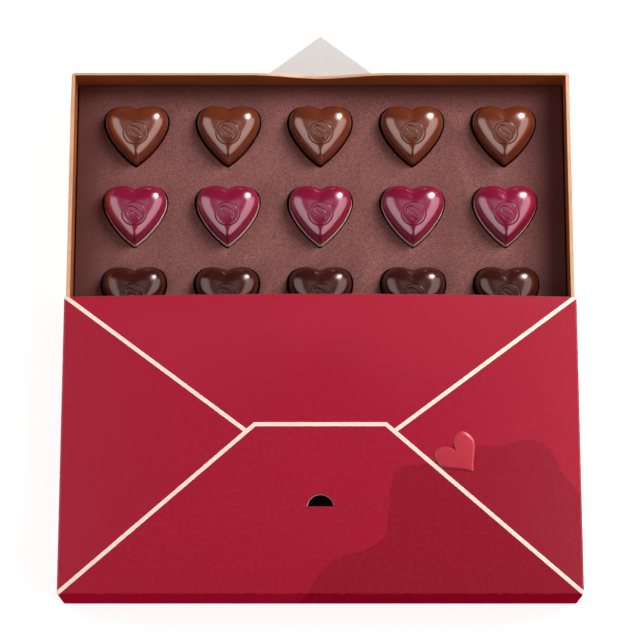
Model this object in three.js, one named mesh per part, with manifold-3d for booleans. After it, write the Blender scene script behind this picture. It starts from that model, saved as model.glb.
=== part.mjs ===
// A slide box of heart-shaped chocolate pralines, in millimetres.
// An envelope-style card sleeve lies flat, closed at its front end. Its bottom panel runs on behind the
// mouth as a pointed closing flap, laid open on the table. A shallow card tray is drawn most of the way
// out over that flap, with fifteen pralines in the wells of its insert.
// +X runs to the right along the mouth, +Y runs out of the mouth towards the tip of the flap, +Z is up.
// The origin is the middle of the crease between the sleeve's bottom and its flap, on the table.

import * as THREE from 'three';
import { mergeVertices } from 'three/addons/utils/BufferGeometryUtils.js';
import Module from 'manifold-3d';

// Sleeve
const SLEEVE_WIDTH = 250;
const SLEEVE_LENGTH = 146.7;
const SLEEVE_HEIGHT = 32;
const CARD = 0.6;
const FOLD_RADIUS = 1;
const MOUTH_SETBACK = 0.7;
const MOUTH_BOW = 1.6;

// Closing flap
const FLAP_LENGTH = 146.7;
const FLAP_SLOPE = 0.764;
const FLAP_SIDE_INSET = 1;

// Thumb notch and tuck slit in the sleeve's top
const SLIT_FROM_MOUTH = 104.2;
const SLIT_WIDTH = 26;
const SLIT_GAP = 0.4;
const NOTCH_WIDTH = 12.4;
const NOTCH_RISE = 5.4;

// Raised heart on the sleeve's top
const SEAL_WIDTH = 20.4;
const SEAL_LENGTH = 19.4;
const SEAL_RISE = 0.8;
const SEAL_LIP = 0.3;
const SEAL_AT = { x: 67.9, y: -80.5 };
const SEAL_TURN = THREE.MathUtils.degToRad(41.4);

// Tray
const TRAY_WIDTH = 248.3;
const TRAY_LENGTH = 145;
const TRAY_PULLED_OUT = 115.4;
const TRAY_WALL = 1.5;
const TRAY_BACK_WALL = 1.1;
const TRAY_FLOOR = 1.2;
const TRAY_CORNER = 1.5;
const RUNNING_GAP = 0.3;
const FINGER_DIP_WIDTH = 65;
const FINGER_DIP_DEPTH = 5.3;

// Insert with its wells
const INSERT_SIDE_GAP = 1.4;
const INSERT_END_GAP = 0.6;
const INSERT_TOP = 17;
const WELL_DEPTH = 3;
const WELL_CLEARANCE = 0.85;

// Pralines
const HEART_WIDTH = 31;
const HEART_LENGTH = 31.4;
const HEART_RISE = 10.6;
const HEART_RIM = 1.4;
const COLUMNS = 5;
const COLUMN_PITCH = 46;
const ROW_PITCH = 42;
const BACK_ROW_TIP_Y = 70.8;
const DOME_FLATNESS = 2.3;
const DOME_SHOULDER = 0.72;

// Heart outlines, as shares of the half width and of the length counted down from the lobes' tops:
// the cleft, the pull on the curve leaving it, the pull over the lobe, the widest place,
// the pull below that and the pull above the tip
const PRALINE_HEART = {
  cleft: 0.047,
  rise: [0.28, -0.025],
  lobe: -0.04,
  widest: 0.27,
  flank: 0.49,
  low: [0.45, 0.82],
};
const SEAL_HEART = {
  cleft: 0.29,
  rise: [0.1, -0.04],
  lobe: -0.2,
  widest: 0.33,
  flank: 0.56,
  low: [0.3, 0.8],
};
const TIP_ROUND = 0.055;
const TIP_SPREAD = 0.094;
const CROWN_AT = 0.535;

// How far a cutter reaches past the face it cuts, and the flap into the sleeve's bottom
const PAST = 1;
const FLAP_OVERLAP = 5;

const wasm = await Module();
wasm.setup();

const red = new THREE.MeshStandardMaterial({ color: 0xa82a40, roughness: 0.5 });
const sealRed = new THREE.MeshStandardMaterial({ color: 0xc04352, roughness: 0.4 });
const copper = new THREE.MeshStandardMaterial({ color: 0xb87a52, roughness: 0.4, metalness: 0.6 });
const mauve = new THREE.MeshStandardMaterial({ color: 0x6e4642, roughness: 0.95 });
const milk = new THREE.MeshStandardMaterial({ color: 0x5e2814, roughness: 0.3 });
const ruby = new THREE.MeshStandardMaterial({ color: 0x7a1030, roughness: 0.28 });
const rubyBase = new THREE.MeshStandardMaterial({ color: 0xe0a69e, roughness: 0.5 });
const dark = new THREE.MeshStandardMaterial({ color: 0x3a1712, roughness: 0.28 });

// Solids for joining and cutting

function solidOf(geometry) {
  const bare = geometry.index ? geometry.toNonIndexed() : geometry.clone();
  bare.deleteAttribute('normal');
  bare.deleteAttribute('uv');
  const merged = mergeVertices(bare, 1e-4);
  return new wasm.Manifold(new wasm.Mesh({
    numProp: 3,
    vertProperties: new Float32Array(merged.attributes.position.array),
    triVerts: new Uint32Array(merged.index.array),
  }));
}

function geometryOf(solid) {
  const mesh = solid.getMesh();
  const geometry = new THREE.BufferGeometry();
  geometry.setAttribute('position', new THREE.BufferAttribute(mesh.vertProperties, 3));
  geometry.setIndex(new THREE.BufferAttribute(mesh.triVerts, 1));
  return geometry;
}

// A plan outline pulled straight up from zLow to zHigh
function prism(shape, zLow, zHigh, curveSegments = 8) {
  const geometry = new THREE.ExtrudeGeometry(shape, {
    depth: zHigh - zLow,
    bevelEnabled: false,
    curveSegments,
  });
  return geometry.translate(0, 0, zLow);
}

// An outline in X and Z pulled along Y from yLow to yHigh
function rail(shape, yLow, yHigh, curveSegments = 3) {
  const geometry = new THREE.ExtrudeGeometry(shape, {
    depth: yHigh - yLow,
    bevelEnabled: false,
    curveSegments,
  });
  return geometry.rotateX(Math.PI / 2).translate(0, yHigh, 0);
}

function roundedRectangle(xLow, yLow, xHigh, yHigh, radius) {
  const shape = new THREE.Shape();
  const quarter = Math.PI / 2;
  shape.absarc(xHigh - radius, yLow + radius, radius, -quarter, 0);
  shape.absarc(xHigh - radius, yHigh - radius, radius, 0, quarter);
  shape.absarc(xLow + radius, yHigh - radius, radius, quarter, 2 * quarter);
  shape.absarc(xLow + radius, yLow + radius, radius, 2 * quarter, 3 * quarter);
  shape.closePath();
  return shape;
}

function polygon(points) {
  return new THREE.Shape(points.map(([x, y]) => new THREE.Vector2(x, y)));
}

// The heart, with its crown at the origin and its tip towards -Y

function heartShape(style, width, length) {
  const half = width / 2;
  const down = (share) => length * (CROWN_AT - share);
  const cleft = [0, down(style.cleft)];
  const widest = [half, down(style.widest)];
  const nearTip = [half * TIP_SPREAD, down(1 - TIP_ROUND)];
  const rise = [half * style.rise[0], down(style.rise[1])];
  const lobe = [half, down(style.lobe)];
  const flank = [half, down(style.flank)];
  const low = [half * style.low[0], down(style.low[1])];
  const mirrored = ([x, y]) => [-x, y];
  const shape = new THREE.Shape();
  shape.moveTo(...cleft);
  shape.bezierCurveTo(...rise, ...lobe, ...widest);
  shape.bezierCurveTo(...flank, ...low, ...nearTip);
  shape.quadraticCurveTo(0, down(1), ...mirrored(nearTip));
  shape.bezierCurveTo(...mirrored(low), ...mirrored(flank), ...mirrored(widest));
  shape.bezierCurveTo(...mirrored(lobe), ...mirrored(rise), ...cleft);
  return shape;
}

function heartOutline(style, width, length, lobeSteps, tipSteps) {
  const shape = heartShape(style, width, length);
  const points = [];
  for (const curve of shape.curves) {
    const isTip = curve.isQuadraticBezierCurve;
    points.push(...curve.getPoints(isTip ? tipSteps : lobeSteps).slice(1));
  }
  return points.reverse();
}

// A closed pillow over an outline: an upright rim up to zRim, then a dome up to zTop.
// Towards the crown each ring turns from the heart's outline into a circle.
function pillow(outline, zBottom, zRim, zTop, ringScales) {
  const count = outline.length;
  const meanRadius = outline.reduce((sum, point) => sum + point.length(), 0) / count;
  const domeHeight = (scale) => (1 - scale ** DOME_FLATNESS) ** DOME_SHOULDER;
  const rings = [{ scale: 1, z: zBottom }];
  for (const scale of ringScales) {
    rings.push({ scale, z: zRim + (zTop - zRim) * domeHeight(scale) });
  }
  const vertices = [];
  for (const { scale, z } of rings) {
    const roundness = (1 - scale) ** 1.5;
    for (const point of outline) {
      const circle = point.clone().setLength(meanRadius);
      const place = point.clone().lerp(circle, roundness).multiplyScalar(scale);
      vertices.push(place.x, place.y, z);
    }
  }
  const crown = vertices.length / 3;
  vertices.push(0, 0, zTop);
  const faces = [];
  for (let ring = 0; ring + 1 < rings.length; ring += 1) {
    for (let i = 0; i < count; i += 1) {
      const next = (i + 1) % count;
      const a = ring * count + i;
      const b = ring * count + next;
      faces.push(a, b, b + count, a, b + count, a + count);
    }
  }
  const lastRing = (rings.length - 1) * count;
  for (let i = 0; i < count; i += 1) {
    faces.push(lastRing + i, lastRing + (i + 1) % count, crown);
  }
  for (const [a, b, c] of THREE.ShapeUtils.triangulateShape(outline, [])) {
    faces.push(a, c, b);
  }
  const geometry = new THREE.BufferGeometry();
  geometry.setAttribute('position', new THREE.Float32BufferAttribute(vertices, 3));
  geometry.setIndex(faces);
  return geometry;
}

// Sleeve: a pocket with its flap, cut through by the thumb notch and the tuck slit

function mouthOutline() {
  const half = SLEEVE_WIDTH / 2;
  const shape = new THREE.Shape();
  shape.moveTo(-half - PAST, -SLEEVE_LENGTH - PAST);
  shape.lineTo(half + PAST, -SLEEVE_LENGTH - PAST);
  shape.lineTo(half + PAST, -MOUTH_SETBACK);
  shape.quadraticCurveTo(0, 2 * MOUTH_BOW - MOUTH_SETBACK, -half - PAST, -MOUTH_SETBACK);
  shape.closePath();
  return shape;
}

function flapOutline() {
  const half = SLEEVE_WIDTH / 2 - FLAP_SIDE_INSET;
  const shoulder = FLAP_LENGTH - half * FLAP_SLOPE;
  const start = -FLAP_OVERLAP;
  return polygon([[-half, start], [half, start], [half, shoulder], [0, FLAP_LENGTH], [-half, shoulder]]);
}

// The notch is a segment of a circle standing on the slit
function notchOutline() {
  const half = NOTCH_WIDTH / 2;
  const radius = (half ** 2 + NOTCH_RISE ** 2) / (2 * NOTCH_RISE);
  const centreY = -SLIT_FROM_MOUTH + NOTCH_RISE - radius;
  const start = Math.atan2(-SLIT_FROM_MOUTH - centreY, half);
  const shape = new THREE.Shape();
  shape.absarc(0, centreY, radius, start, Math.PI - start);
  shape.closePath();
  return shape;
}

function makeSleeve() {
  const half = SLEEVE_WIDTH / 2;
  const pastMouth = MOUTH_BOW + PAST;
  const outer = roundedRectangle(-half, 0, half, SLEEVE_HEIGHT, FOLD_RADIUS);
  const inner = roundedRectangle(-half + CARD, CARD, half - CARD, SLEEVE_HEIGHT - CARD, FOLD_RADIUS - CARD);
  const cutTop = SLEEVE_HEIGHT + PAST;
  const cutBottom = SLEEVE_HEIGHT - CARD - PAST;
  const slit = polygon([
    [-SLIT_WIDTH / 2, -SLIT_FROM_MOUTH - SLIT_GAP],
    [SLIT_WIDTH / 2, -SLIT_FROM_MOUTH - SLIT_GAP],
    [SLIT_WIDTH / 2, -SLIT_FROM_MOUTH],
    [-SLIT_WIDTH / 2, -SLIT_FROM_MOUTH],
  ]);
  return geometryOf(
    solidOf(rail(outer, -SLEEVE_LENGTH, pastMouth))
      .subtract(solidOf(rail(inner, -SLEEVE_LENGTH + CARD, pastMouth + PAST)))
      .intersect(solidOf(prism(mouthOutline(), -PAST, cutTop, 12)))
      .add(solidOf(prism(flapOutline(), 0, CARD)))
      .subtract(solidOf(prism(notchOutline(), cutBottom, cutTop, 12)))
      .subtract(solidOf(prism(slit, cutBottom, cutTop))),
  );
}

// Tray: an open card box whose back wall dips for a finger

const TRAY_BACK = TRAY_PULLED_OUT;
const TRAY_FRONT = TRAY_PULLED_OUT - TRAY_LENGTH;
const TRAY_BOTTOM = CARD + RUNNING_GAP;
const TRAY_RIM = SLEEVE_HEIGHT - CARD - RUNNING_GAP;

function makeTray() {
  const half = TRAY_WIDTH / 2;
  const outer = roundedRectangle(-half, TRAY_FRONT, half, TRAY_BACK, TRAY_CORNER);
  const inner = roundedRectangle(
    -half + TRAY_WALL,
    TRAY_FRONT + TRAY_WALL,
    half - TRAY_WALL,
    TRAY_BACK - TRAY_BACK_WALL,
    TRAY_CORNER / 3,
  );
  const dip = polygon([
    [-FINGER_DIP_WIDTH / 2, TRAY_RIM],
    [-FINGER_DIP_WIDTH / 2, TRAY_RIM + PAST],
    [FINGER_DIP_WIDTH / 2, TRAY_RIM + PAST],
    [FINGER_DIP_WIDTH / 2, TRAY_RIM],
    [0, TRAY_RIM - FINGER_DIP_DEPTH],
  ].reverse());
  return geometryOf(
    solidOf(prism(outer, TRAY_BOTTOM, TRAY_RIM, 3))
      .subtract(solidOf(prism(inner, TRAY_BOTTOM + TRAY_FLOOR, TRAY_RIM + PAST, 3)))
      .subtract(solidOf(rail(dip, TRAY_BACK - TRAY_BACK_WALL - PAST, TRAY_BACK + PAST))),
  );
}

// Insert: a thick felted block with a shallow heart-shaped well for each praline

function heartPlaces() {
  const crownFromTip = HEART_LENGTH * (1 - CROWN_AT);
  const places = [];
  for (let row = 0; row < 3; row += 1) {
    for (let column = 0; column < COLUMNS; column += 1) {
      places.push({
        row,
        column,
        x: (column - (COLUMNS - 1) / 2) * COLUMN_PITCH,
        y: BACK_ROW_TIP_Y + crownFromTip - row * ROW_PITCH,
      });
    }
  }
  return places;
}

function makeInsert() {
  const half = TRAY_WIDTH / 2 - TRAY_WALL - INSERT_SIDE_GAP;
  const front = TRAY_FRONT + TRAY_WALL + INSERT_END_GAP;
  const back = TRAY_BACK - TRAY_BACK_WALL - INSERT_END_GAP;
  const block = roundedRectangle(-half, front, half, back, 1);
  const spread = 2 * WELL_CLEARANCE;
  const wellShape = heartShape(PRALINE_HEART, HEART_WIDTH + spread, HEART_LENGTH + spread);
  const well = solidOf(prism(wellShape, INSERT_TOP - WELL_DEPTH, INSERT_TOP + PAST, 7));
  let insert = solidOf(prism(block, TRAY_BOTTOM + TRAY_FLOOR, INSERT_TOP, 2));
  for (const { x, y } of heartPlaces()) {
    insert = insert.subtract(well.translate([x, y, 0]));
  }
  return geometryOf(insert);
}

// Pralines: a moulded heart each; the red ones are closed below by a paler layer that shows at the rim

const HEART_BOTTOM = INSERT_TOP - WELL_DEPTH;
const HEART_SHOULDER = INSERT_TOP + HEART_RIM;
const HEART_TOP = INSERT_TOP + HEART_RISE;
const SHELL_LIP = 0.6;
const DOME_RINGS = [1, 0.93, 0.8, 0.6, 0.35];
const praline = heartOutline(PRALINE_HEART, HEART_WIDTH, HEART_LENGTH, 7, 3);
const wholeHeart = pillow(praline, HEART_BOTTOM, HEART_SHOULDER, HEART_TOP, DOME_RINGS);
const shellHeart = pillow(praline, HEART_SHOULDER, HEART_SHOULDER + SHELL_LIP, HEART_TOP, DOME_RINGS);
const baseHeart = prism(new THREE.Shape(praline), HEART_BOTTOM, HEART_SHOULDER, 1);

const box = new THREE.Group();

function addPiece(name, geometry, material, parent = box) {
  const mesh = new THREE.Mesh(geometry, material.clone());
  mesh.name = name;
  parent.add(mesh);
  return mesh;
}

const sleeveGroup = new THREE.Group();
addPiece('sleeve', makeSleeve(), red, sleeveGroup);
const sealOutline = heartOutline(SEAL_HEART, SEAL_WIDTH, SEAL_LENGTH, 6, 2);
const sealPillow = pillow(sealOutline, 0, SEAL_LIP, SEAL_RISE, [1, 0.9, 0.7]);
const seal = addPiece('heart_seal', sealPillow, sealRed, sleeveGroup);
seal.position.set(SEAL_AT.x, SEAL_AT.y, SLEEVE_HEIGHT);
seal.rotation.z = SEAL_TURN;
box.add(sleeveGroup);

const trayGroup = new THREE.Group();
addPiece('tray', makeTray(), copper, trayGroup);
addPiece('insert', makeInsert(), mauve, trayGroup);
for (const { row, column, x, y } of heartPlaces()) {
  const place = new THREE.Group();
  place.position.set(x, y, 0);
  const number = column + 1;
  if (row === 0) {
    addPiece(`milk_heart_${number}`, wholeHeart, milk, place);
  } else if (row === 1) {
    addPiece(`ruby_heart_${number}`, shellHeart, ruby, place);
    addPiece(`ruby_base_${number}`, baseHeart, rubyBase, place);
  } else {
    addPiece(`dark_heart_${number}`, wholeHeart, dark, place);
  }
  trayGroup.add(place);
}
box.add(trayGroup);

export default box;
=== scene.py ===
# %% [markdown]
# A box of heart pralines
#
# This lesson dresses a packed slide box: a red card sleeve in the form of an envelope, a copper
# tray drawn out of it, a felted insert and fifteen heart pralines. The frame gives each piece's
# size and place, so the looks are built round it and nothing is fitted afterwards.

import math

import bmesh
import bpy
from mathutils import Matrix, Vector
from mathutils.kdtree import KDTree


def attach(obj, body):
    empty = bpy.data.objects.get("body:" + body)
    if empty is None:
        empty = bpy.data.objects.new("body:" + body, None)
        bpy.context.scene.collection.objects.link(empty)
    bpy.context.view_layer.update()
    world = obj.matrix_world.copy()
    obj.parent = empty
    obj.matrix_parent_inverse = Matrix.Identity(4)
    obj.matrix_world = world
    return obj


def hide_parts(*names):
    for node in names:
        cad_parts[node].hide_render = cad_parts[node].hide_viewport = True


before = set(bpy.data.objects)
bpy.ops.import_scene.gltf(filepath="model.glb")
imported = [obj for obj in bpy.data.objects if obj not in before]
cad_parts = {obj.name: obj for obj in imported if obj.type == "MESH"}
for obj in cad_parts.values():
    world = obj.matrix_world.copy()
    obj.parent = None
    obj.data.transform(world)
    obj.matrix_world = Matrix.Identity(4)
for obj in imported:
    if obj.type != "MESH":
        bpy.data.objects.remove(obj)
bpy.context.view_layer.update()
MM = 0.001

# %% [markdown]
# A long lens looks down from above the front of the sleeve. A box seen from above gets narrower
# towards its far end. A long lens keeps that small, and a little shift puts the box in the middle
# without leaning the camera back.

# %% Camera
CAMERA_PLACE = (-0.0002, -0.3097, 1.1607)
CAMERA_TILT = math.radians(13.23)
CAMERA_LENS = 135
CAMERA_SHIFT = 0.10

bpy.ops.object.camera_add(location=CAMERA_PLACE, rotation=(CAMERA_TILT, 0, 0))
camera = bpy.context.object
camera.data.sensor_width = 36
camera.data.lens = CAMERA_LENS
camera.data.shift_y = CAMERA_SHIFT
bpy.context.scene.camera = camera
bpy.context.scene.view_settings.view_transform = "Standard"

# %% [markdown]
# The floor is a plain pale sheet that glows a little, so shadows on it stay light. A soft lamp
# behind the box on the right does most of the lighting, because the photo's shadows fall to the
# front left and are deep along the right and back walls of the tray. Two side panels fill in.
#
# A polished heart shows each lamp as a bright patch with that lamp's outline. So the lamps that
# light and the lamps that are mirrored are kept apart, and each is set alone. A small bright one
# is the sparkle on each right lobe, and a dim one round it is its halo. A tall panel at each side,
# swung a little to the front, is the pale band down each flank. It reaches low, so the band runs
# nearly to the tip. A dim glow above each panel lets the band fade inwards, and a narrow sheen
# behind the box is mirrored in the middle of the sleeve's top.

# %% Floor, lights and world
FLOOR_SIZE, FLOOR_DROP = 6, 0.0003
FLOOR_COLOR, FLOOR_GLOW = (0.88, 0.875, 0.87), 0.73
WORLD_COLOR, WORLD_GLOW = (0.95, 0.97, 1), 0.05
TRAY_CENTRE = (0, 0.045, 0.02)
LIT_ONLY, MIRRORED_ONLY, LIT_AND_MIRRORED = (True, False), (False, True), (True, True)
# Each lamp has its direction in degrees, its distance and size in metres and its power in watts.
LAMPS = (
    ("main", 33, 37, 1.7, (1.05, 1.05), 32.6, LIT_ONLY),
    ("sparkle", 55, 30, 1.35, (0.27, 0.27), 7.0, MIRRORED_ONLY),
    ("sparkle_halo", 55, 31, 1.4, (0.62, 0.62), 3.0, MIRRORED_ONLY),
    ("right_panel", -2, 41, 1.17, (1.85, 0.66), 4.3, LIT_ONLY),
    ("right_band", -13, 32, 1.17, (2.4, 1.12), 15.2, MIRRORED_ONLY),
    ("right_glow", -2, 50, 1.25, (1.85, 1.20), 1.35, LIT_AND_MIRRORED),
    ("left_panel", 180, 40, 1.17, (1.85, 0.66), 3.9, LIT_ONLY),
    ("left_band", 193, 31, 1.17, (2.4, 1.12), 13.2, MIRRORED_ONLY),
    ("left_glow", 180, 49, 1.25, (1.85, 1.20), 1.75, LIT_AND_MIRRORED),
    ("back_sheen", 90, 64, 1.7, (0.9, 0.60), 1.0, MIRRORED_ONLY),
)


def deselect_all():
    if bpy.context.object and bpy.context.object.mode != "OBJECT":
        bpy.ops.object.mode_set(mode="OBJECT")
    bpy.ops.object.select_all(action="DESELECT")


def work_on(piece):
    deselect_all()
    piece.select_set(True)
    bpy.context.view_layer.objects.active = piece


def new_material(name, color, roughness, metallic=0.0, specular=0.5):
    material = bpy.data.materials.new(name)
    material.use_nodes = True
    shader = material.node_tree.nodes["Principled BSDF"]
    shader.inputs["Base Color"].default_value = (*color, 1)
    shader.inputs["Roughness"].default_value = roughness
    shader.inputs["Metallic"].default_value = metallic
    shader.inputs["Specular IOR Level"].default_value = specular
    return material


def soft_light(name, azimuth, elevation, away, size, power, kind):
    """A rectangle or ellipse of light, seen from the tray's middle at these angles."""
    turn, rise = math.radians(azimuth), math.radians(elevation)
    level = math.cos(rise)
    toward = Vector((level * math.cos(turn), level * math.sin(turn), math.sin(rise)))
    place = Vector(TRAY_CENTRE) + toward * away
    bpy.ops.object.light_add(type="AREA", location=place)
    light = bpy.context.object
    light.name = name
    light.rotation_euler = (-toward).to_track_quat("-Z", "Y").to_euler()
    light.data.shape = "ELLIPSE" if size[0] == size[1] else "RECTANGLE"
    light.data.size, light.data.size_y = size
    light.data.energy = power
    light.visible_diffuse, light.visible_glossy = kind
    light.visible_camera = False


deselect_all()
bpy.ops.mesh.primitive_plane_add(size=FLOOR_SIZE, location=(0, 0, -FLOOR_DROP))
floor = bpy.context.object
floor.name = "floor"
pale_floor = new_material("pale_floor", FLOOR_COLOR, 0.9, specular=0.0)
floor_shader = pale_floor.node_tree.nodes["Principled BSDF"]
floor_shader.inputs["Emission Color"].default_value = (1, 1, 1, 1)
floor_shader.inputs["Emission Strength"].default_value = FLOOR_GLOW
floor.data.materials.append(pale_floor)

for lamp in LAMPS:
    soft_light(*lamp)

world = bpy.data.worlds.new("studio")
bpy.context.scene.world = world
world.use_nodes = True
background = world.node_tree.nodes["Background"]
background.inputs["Color"].default_value = (*WORLD_COLOR, 1)
background.inputs["Strength"].default_value = WORLD_GLOW

# %% [markdown]
# Every step below picks vertices, edges or faces by where they are, as a hand would click them.
# Places are in millimetres here, because the box is drawn in millimetres.

# %% Picking and shaping helpers
def edit(piece):
    work_on(piece)
    bpy.ops.object.mode_set(mode="EDIT")


def pick(kind, test):
    """In edit mode, leaves selected only what has its middle where test says, in millimetres."""
    bpy.ops.mesh.select_mode(type=kind)
    bpy.ops.mesh.select_all(action="DESELECT")
    mesh = bpy.context.object.data
    shape = bmesh.from_edit_mesh(mesh)
    elements = {"VERT": shape.verts, "EDGE": shape.edges, "FACE": shape.faces}[kind]
    found = 0
    for element in elements:
        corners = [element] if kind == "VERT" else element.verts
        middle = sum((corner.co for corner in corners), Vector()) / len(corners) / MM
        if test(middle, element):
            element.select_set(True)
            found += 1
    bmesh.update_edit_mesh(mesh)
    return found


def near(a, b, slack=0.02):
    return abs(a - b) < slack


def move(x=0.0, y=0.0, z=0.0):
    bpy.ops.transform.translate(value=(x * MM, y * MM, z * MM))


def raise_faces(height):
    """Extrudes what is selected straight up, or down for a height below 0, in millimetres."""
    bpy.ops.mesh.extrude_region_move(TRANSFORM_OT_translate={"value": (0, 0, height * MM)})


def narrow(share, z):
    """Scales what is selected towards the Z axis, in plan only."""
    bpy.ops.transform.resize(value=(share, share, 1), center_override=(0, 0, z * MM))


def block(name, low, high):
    """A cube between two corners in millimetres, with its place in its mesh."""
    deselect_all()
    middle = [(a + b) / 2 * MM for a, b in zip(low, high)]
    sides = [(b - a) * MM for a, b in zip(low, high)]
    bpy.ops.mesh.primitive_cube_add(size=1, location=middle, scale=sides)
    piece = bpy.context.object
    piece.name = name
    bpy.ops.object.transform_apply(location=True, rotation=True, scale=True)
    return piece


def apply_modifier(piece, kind, **settings):
    work_on(piece)
    modifier = piece.modifiers.new(kind.lower(), kind)
    for key, value in settings.items():
        setattr(modifier, key, value)
    bpy.ops.object.modifier_apply(modifier=modifier.name)


def smooth(piece, degrees=30):
    work_on(piece)
    bpy.ops.object.shade_smooth_by_angle(angle=math.radians(degrees))


def finish_mesh(piece):
    edit(piece)
    bpy.ops.mesh.select_all(action="SELECT")
    bpy.ops.mesh.normals_make_consistent(inside=False)
    bpy.ops.object.mode_set(mode="OBJECT")
    piece.data.name = piece.name


def report(piece):
    corners = [v.co / MM for v in piece.data.vertices]
    low = [round(min(c[i] for c in corners), 2) for i in range(3)]
    high = [round(max(c[i] for c in corners), 2) for i in range(3)]
    print(piece.name, "from", low, "to", high, "faces", len(piece.data.polygons))


# %% [markdown]
# Every finish is made of nodes that read the place on the piece itself, in metres, so a pattern
# keeps its real size and stays put when the piece slides. A noise gives flecks or clouds, a Map
# Range turns it into a share, a mix of two colours uses the share, and a Bump tips the surface.

# %% Finish helpers
def node(material, kind, settings=None, inputs=None):
    """Adds a node. An input that is given a socket is linked to it, any other is set."""
    made = material.node_tree.nodes.new(kind)
    for key, value in (settings or {}).items():
        setattr(made, key, value)
    for key, value in (inputs or {}).items():
        if isinstance(value, bpy.types.NodeSocket):
            material.node_tree.links.new(value, made.inputs[key])
        else:
            made.inputs[key].default_value = value
    return made


def spot_on(material):
    return node(material, "ShaderNodeTexCoord").outputs["Object"]


def noise(material, per_metre, detail=2.0, stretch=(1, 1, 1)):
    """A cloudy value, mostly between 0.3 and 0.7, with so many clouds per metre."""
    spot = {"Vector": spot_on(material), "Scale": stretch}
    stretched = node(material, "ShaderNodeMapping", None, spot).outputs[0]
    inputs = {"Vector": stretched, "Scale": per_metre, "Detail": detail}
    return node(material, "ShaderNodeTexNoise", None, inputs).outputs[0]


def share_of(material, value, low, high, to_low=0.0, to_high=1.0, shape="LINEAR"):
    inputs = {0: value, 1: low, 2: high, 3: to_low, 4: to_high}
    return node(material, "ShaderNodeMapRange", {"interpolation_type": shape}, inputs).outputs[0]


def calc(material, kind, first, second=0.0):
    return node(material, "ShaderNodeMath", {"operation": kind}, {0: first, 1: second}).outputs[0]


def mixed(material, share, first, second):
    """The first colour where the share is 0, the second where it is 1."""
    colors = {0: share}
    for key, color in ((6, first), (7, second)):
        colors[key] = (*color, 1) if isinstance(color, tuple) else color
    return node(material, "ShaderNodeMix", {"data_type": "RGBA"}, colors).outputs[2]


def axes(material):
    return node(material, "ShaderNodeSeparateXYZ", None, {0: spot_on(material)}).outputs


def dress(material, color=None, roughness=None, height=None, depth=0.0):
    """Links what the nodes made to the shader. The height is given its depth in metres."""
    links = material.node_tree.links
    shader = material.node_tree.nodes["Principled BSDF"]
    if color is not None:
        links.new(color, shader.inputs["Base Color"])
    if roughness is not None:
        links.new(roughness, shader.inputs["Roughness"])
    if height is not None:
        bump = node(material, "ShaderNodeBump", None, {"Height": height, "Distance": depth})
        links.new(bump.outputs[0], shader.inputs["Normal"])


# %% [markdown]
# The sleeve is one sheet of card, folded. It starts as a block without its back face, gets its
# folds by a bevel, and the flap is pulled out of the bottom panel's free edge. Solidify then
# gives the card its thickness. A pocket made this way has the same card everywhere.

# %% Sleeve panels, folds and flap
SLEEVE_LOW, SLEEVE_HIGH = (-125, -146.7, 0), (125, -0.7, 32)
CARD = 0.6
FOLD_RADIUS = 1.0
FLAP_SHOULDER, FLAP_TIP = 51.96, 146.7
MOUTH_BOW = 1.6
MOUTH_POINTS = 23

sleeve = block("card_sleeve", SLEEVE_LOW, SLEEVE_HIGH)
mouth_y, front_y, top_z = SLEEVE_HIGH[1], SLEEVE_LOW[1], SLEEVE_HIGH[2]
edit(sleeve)
pick("FACE", lambda p, face: near(p.y, mouth_y))
bpy.ops.mesh.delete(type="FACE")
pick("EDGE", lambda p, edge: not near(p.y, mouth_y))
bpy.ops.mesh.bevel(offset=FOLD_RADIUS * MM, segments=4, affect="EDGES")
pick("EDGE", lambda p, edge: near(p.y, mouth_y) and near(p.z, 0) and near(p.x, 0))
bpy.ops.mesh.extrude_edges_move(
    TRANSFORM_OT_translate={"value": (0, (FLAP_SHOULDER - mouth_y) * MM, 0)}
)
bpy.ops.mesh.extrude_edges_move(
    TRANSFORM_OT_translate={"value": (0, (FLAP_TIP - FLAP_SHOULDER) * MM, 0)}
)
bpy.ops.mesh.merge(type="CENTER")
pick("EDGE", lambda p, edge: near(p.y, mouth_y) and near(p.z, top_z) and near(p.x, 0))
bpy.ops.mesh.subdivide(number_cuts=MOUTH_POINTS)
half_mouth = SLEEVE_HIGH[0] - FOLD_RADIUS
for i in range(MOUTH_POINTS):
    along = -half_mouth + 2 * half_mouth * (i + 1) / (MOUTH_POINTS + 1)
    pick("VERT", lambda p, v: near(p.x, along) and near(p.y, mouth_y) and near(p.z, top_z))
    move(y=MOUTH_BOW * (1 - (along / half_mouth) ** 2))
bpy.ops.object.mode_set(mode="OBJECT")
report(sleeve)

# %% [markdown]
# The print shows an envelope's flaps as lines of pale foil. Each line's two edges are cut into
# the top panel by a bisect, and the faces between them get the foil. Cut faces keep the lines
# crisp from any distance, which a painted mask doesn't.

# %% Foil lines cut into the top panel
FOIL_HALF = 1.0
POINT_X, POINT_Y = 31.6, -64.2
JOINT_X, JOINT_Y = 36.4, -67.0
TOP_FLAP_LINE = ((-JOINT_X, JOINT_Y), (-124.3, mouth_y))
FRONT_FLAP_LINE = ((-POINT_X, POINT_Y), (-125.4, front_y))
ABOVE_FOLDS = 31.0
RED, FOIL, INSIDE, INSIDE_OF_FOIL, RAW_EDGE, RAW_EDGE_OF_FOIL, RED_SIDE = range(7)


def across(line, x, y):
    """How far a point is from an endless line in plan, and how far along it."""
    (ax, ay), (bx, by) = line
    length = math.hypot(bx - ax, by - ay)
    ux, uy = (bx - ax) / length, (by - ay) / length
    return (x - ax) * -uy + (y - ay) * ux, (x - ax) * ux + (y - ay) * uy


def mirrored(line):
    return tuple((-x, y) for x, y in line)


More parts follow.
